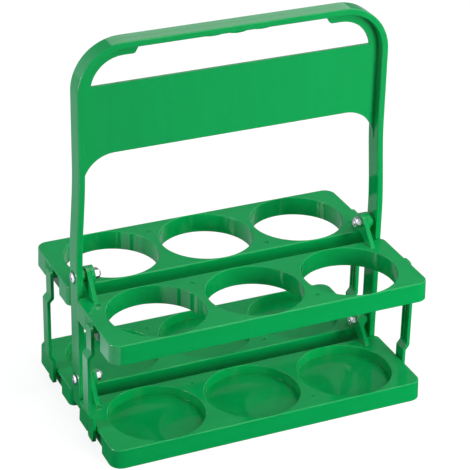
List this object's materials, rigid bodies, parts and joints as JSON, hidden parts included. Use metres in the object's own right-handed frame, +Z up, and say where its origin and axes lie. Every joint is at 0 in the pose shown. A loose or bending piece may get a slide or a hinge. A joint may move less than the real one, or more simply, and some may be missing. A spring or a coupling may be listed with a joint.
{
  "type": "foldable bottle carrier",
  "caption": "Foldable carrier for laboratory bottles: holed racks and cupped trays hinge up against a handled frame, kept level by side links.",
  "frame": {"origin": "on the floor, in the middle of the unfolded carrier", "axes": "+Z up along the handle, X along the carrier's length, the front rack and tray are at -Y"},
  "size_m": [0.3456, 0.2186, 0.387],
  "materials": {
    "moulded_plastic": "glossy",
    "bright_metal": "polished"
  },
  "bodies": {
    "frame": {"handle_frame": "moulded_plastic", "right_upper_screw": "bright_metal", "left_upper_screw": "bright_metal", "right_lower_screw": "bright_metal", "left_lower_screw": "bright_metal", "right_upper_nut": "bright_metal", "left_upper_nut": "bright_metal", "right_lower_nut": "bright_metal", "left_lower_nut": "bright_metal"},
    "front_rack": {"front_upper_rack": "moulded_plastic"},
    "rear_rack": {"rear_upper_rack": "moulded_plastic"},
    "front_tray": {"front_lower_tray": "moulded_plastic"},
    "rear_tray": {"rear_lower_tray": "moulded_plastic"},
    "front_right_bar": {"front_right_link": "moulded_plastic"},
    "front_left_bar": {"front_left_link": "moulded_plastic"},
    "rear_right_bar": {"rear_right_link": "moulded_plastic"},
    "rear_left_bar": {"rear_left_link": "moulded_plastic"}
  },
  "joints": [
    {"name": "front_fold", "type": "hinge", "parent": "frame", "child": "front_rack", "pos_m": [0, 0, 0.151], "axis": [-1, 0, 0], "range_deg": [0, 90]},
    {"name": "rear_fold", "type": "hinge", "parent": "frame", "child": "rear_rack", "pos_m": [0, 0, 0.151], "axis": [1, 0, 0], "range_deg": [0, 90]},
    {"name": "front_tray_fold", "type": "hinge", "parent": "frame", "child": "front_tray", "pos_m": [0, 0, 0.037], "axis": [-1, 0, 0], "range_deg": [0, 90]},
    {"name": "rear_tray_fold", "type": "hinge", "parent": "frame", "child": "rear_tray", "pos_m": [0, 0, 0.037], "axis": [1, 0, 0], "range_deg": [0, 90]},
    {"name": "front_right_link_turn", "type": "hinge", "parent": "front_rack", "child": "front_right_bar", "pos_m": [0.1673, -0.057, 0.125], "axis": [-1, 0, 0], "range_deg": [-90, 0]},
    {"name": "front_left_link_turn", "type": "hinge", "parent": "front_rack", "child": "front_left_bar", "pos_m": [-0.1673, -0.057, 0.125], "axis": [-1, 0, 0], "range_deg": [-90, 0]},
    {"name": "rear_right_link_turn", "type": "hinge", "parent": "rear_rack", "child": "rear_right_bar", "pos_m": [0.1673, 0.057, 0.125], "axis": [1, 0, 0], "range_deg": [-90, 0]},
    {"name": "rear_left_link_turn", "type": "hinge", "parent": "rear_rack", "child": "rear_left_bar", "pos_m": [-0.1673, 0.057, 0.125], "axis": [1, 0, 0], "range_deg": [-90, 0]}
  ],
  "couplings": [
    {"joint": "front_tray_fold", "follows": "front_fold", "ratio": 1},
    {"joint": "rear_tray_fold", "follows": "rear_fold", "ratio": 1},
    {"joint": "front_right_link_turn", "follows": "front_fold", "ratio": -1},
    {"joint": "front_left_link_turn", "follows": "front_fold", "ratio": -1},
    {"joint": "rear_right_link_turn", "follows": "rear_fold", "ratio": -1},
    {"joint": "rear_left_link_turn", "follows": "rear_fold", "ratio": -1}
  ]
}
